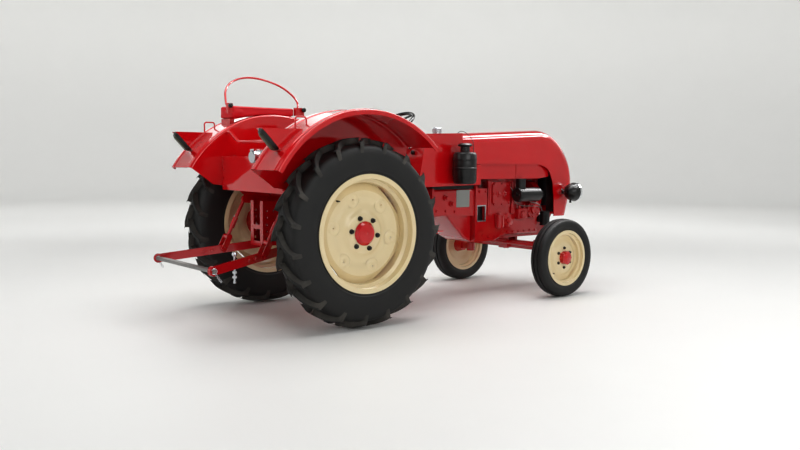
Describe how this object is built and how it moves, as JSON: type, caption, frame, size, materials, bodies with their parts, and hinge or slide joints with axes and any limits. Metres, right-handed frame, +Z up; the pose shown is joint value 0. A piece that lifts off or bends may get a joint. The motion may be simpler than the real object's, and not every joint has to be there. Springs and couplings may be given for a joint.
{
  "type": "vintage farm tractor",
  "caption": "Restored 1950s farm tractor with tilting bonnet, deep fenders, side passenger seat, chevron-tread rear wheels and a two-arm rear lift linkage.",
  "frame": {"origin": "on the floor under the middle of the whole tractor, midway between the nose and the rear ends of the lower links", "axes": "+X forward along the tractor, +Y to its left, +Z up"},
  "size_m": [3.5252, 1.496, 1.6911],
  "materials": {
    "red_paint": "glossy red enamel",
    "cream_paint": "glossy cream enamel",
    "black_paint": "satin black enamel",
    "cast_red": "red enamel over rough casting",
    "tyre_rubber": "matt tread rubber",
    "steering_plastic": "gloss black",
    "bare_steel": "bare steel",
    "grille_paint": "red enamel",
    "seat_pad": "red leathercloth"
  },
  "bodies": {
    "chassis": {"air_cleaner": "black_paint", "blower": "cast_red", "cooling_shroud": "red_paint", "cowl": "red_paint", "driver_seat": "red_paint", "engine_block": "cast_red", "exhaust": "black_paint", "fender_left": "red_paint", "fender_right": "red_paint", "footplates": "red_paint", "front_axle": "cast_red", "front_support": "cast_red", "fuel_cap": "black_paint", "gear_lever": "black_paint", "gearbox": "cast_red", "generator": "black_paint", "hitch_frame": "cast_red", "pad_brackets": "red_paint", "passenger_pad": "seat_pad", "pedals": "black_paint", "pto_shaft": "bare_steel", "rear_axle": "cast_red", "rear_deck": "red_paint", "seat_bow": "red_paint", "seat_support": "red_paint", "steering_box": "cast_red", "steering_column": "red_paint", "tail_lamps": "red_paint"},
    "hood": {"hood": "red_paint", "grille": "grille_paint", "headlamps": "black_paint"},
    "knuckle_left": {"knuckle_left": "cast_red"},
    "knuckle_right": {"knuckle_right": "cast_red"},
    "tie_rod": {"tie_rod": "cast_red"},
    "pitman_arm": {"pitman_arm": "cast_red"},
    "drag_link": {"drag_link": "cast_red"},
    "steering_wheel": {"steering_wheel": "steering_plastic"},
    "lower_links": {"lower_links": "cast_red", "crossbar": "bare_steel"},
    "lift_arms": {"lift_arms": "cast_red"},
    "lift_rods": {"lift_rods": "cast_red"},
    "rear_wheel_left": {"rear_tyre_left": "tyre_rubber", "rear_wheel_left": "cream_paint", "rear_hub_left": "red_paint"},
    "front_wheel_left": {"front_tyre_left": "tyre_rubber", "front_wheel_left": "cream_paint", "front_hub_left": "red_paint"},
    "rear_wheel_right": {"rear_tyre_right": "tyre_rubber", "rear_wheel_right": "cream_paint", "rear_hub_right": "red_paint"},
    "front_wheel_right": {"front_tyre_right": "tyre_rubber", "front_wheel_right": "cream_paint", "front_hub_right": "red_paint"}
  },
  "joints": [
    {"name": "rear_left_spin", "type": "hinge", "parent": "chassis", "child": "rear_wheel_left", "pos_m": [-0.8095, 0.619, 0.61], "axis": [0, 1, 0], "continuous": true},
    {"name": "rear_right_spin", "type": "hinge", "parent": "chassis", "child": "rear_wheel_right", "pos_m": [-0.8095, -0.619, 0.61], "axis": [0, 1, 0], "continuous": true},
    {"name": "steer_left", "type": "hinge", "parent": "chassis", "child": "knuckle_left", "pos_m": [1.2065, 0.455, 0.38], "axis": [0, 0, 1], "range_deg": [-35, 35]},
    {"name": "steer_right", "type": "hinge", "parent": "chassis", "child": "knuckle_right", "pos_m": [1.2065, -0.455, 0.38], "axis": [0, 0, 1], "range_deg": [-35, 35]},
    {"name": "front_left_spin", "type": "hinge", "parent": "knuckle_left", "child": "front_wheel_left", "pos_m": [1.2065, 0.592, 0.31], "axis": [0, 1, 0], "continuous": true},
    {"name": "front_right_spin", "type": "hinge", "parent": "knuckle_right", "child": "front_wheel_right", "pos_m": [1.2065, -0.592, 0.31], "axis": [0, 1, 0], "continuous": true},
    {"name": "tie_rod_turn", "type": "hinge", "parent": "knuckle_left", "child": "tie_rod", "pos_m": [1.0565, 0.455, 0.4], "axis": [0, 0, 1], "range_deg": [-35, 35]},
    {"name": "pitman_turn", "type": "hinge", "parent": "chassis", "child": "pitman_arm", "pos_m": [0.3405, 0.33, 0.64], "axis": [0, 1, 0], "range_deg": [-24, 24]},
    {"name": "drag_link_turn", "type": "hinge", "parent": "pitman_arm", "child": "drag_link", "pos_m": [0.3405, 0.356, 0.46], "axis": [0, 1, 0], "range_deg": [-24, 24]},
    {"name": "steering_wheel_turn", "type": "hinge", "parent": "chassis", "child": "steering_wheel", "pos_m": [-0.0895, 0, 1.33], "axis": [-0.5, 0, 0.866], "range_deg": [-420, 420]},
    {"name": "hood_tilt", "type": "hinge", "parent": "chassis", "child": "hood", "pos_m": [1.6205, 0, 0.64], "axis": [0, 1, 0], "range_deg": [0, 60]},
    {"name": "link_lift", "type": "hinge", "parent": "chassis", "child": "lower_links", "pos_m": [-0.9695, 0, 0.502], "axis": [0, 1, 0], "range_deg": [-14, 22]},
    {"name": "arm_lift", "type": "hinge", "parent": "chassis", "child": "lift_arms", "pos_m": [-0.8695, 0, 0.787], "axis": [0, 1, 0], "range_deg": [-17, 26]},
    {"name": "rod_swing", "type": "hinge", "parent": "lift_arms", "child": "lift_rods", "pos_m": [-1.1545, 0, 0.8], "axis": [0, 1, 0], "range_deg": [-22, 14]}
  ],
  "couplings": [
    {"joint": "steer_right", "follows": "steer_left", "ratio": 1},
    {"joint": "tie_rod_turn", "follows": "steer_left", "ratio": -1},
    {"joint": "pitman_turn", "follows": "steer_left", "ratio": -0.67},
    {"joint": "drag_link_turn", "follows": "steer_left", "ratio": 0.67},
    {"joint": "steering_wheel_turn", "follows": "steer_left", "ratio": 12},
    {"joint": "arm_lift", "follows": "link_lift", "ratio": 1.164},
    {"joint": "rod_swing", "follows": "link_lift", "ratio": -0.99}
  ]
}
